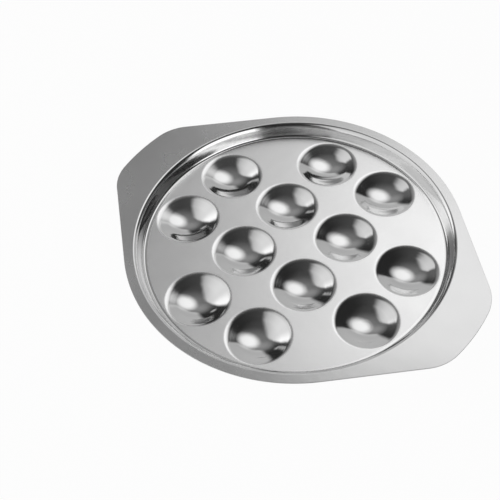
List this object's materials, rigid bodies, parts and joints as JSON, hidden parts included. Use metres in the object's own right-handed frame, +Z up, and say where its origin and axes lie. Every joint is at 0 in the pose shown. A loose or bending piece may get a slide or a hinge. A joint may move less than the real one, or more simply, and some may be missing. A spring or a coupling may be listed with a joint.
{
  "type": "escargot plate",
  "caption": "Round escargot plate pressed from one steel sheet: a shallow pan with twelve round shallow bowls, in a flat flange with two flat ears to hold it by.",
  "frame": {"origin": "under the plate's centre, level with the lowest points of the bowls, on which the plate stands", "axes": "+Z up, +X through the two ears, +Y across them"},
  "size_m": [0.24, 0.2, 0.0146],
  "materials": {
    "stainless_sheet": "satin on the flange and the floor, polished in the bowls and on the wall"
  },
  "bodies": {
    "root": {"escargot_plate": "stainless_sheet"}
  },
  "joints": []
}
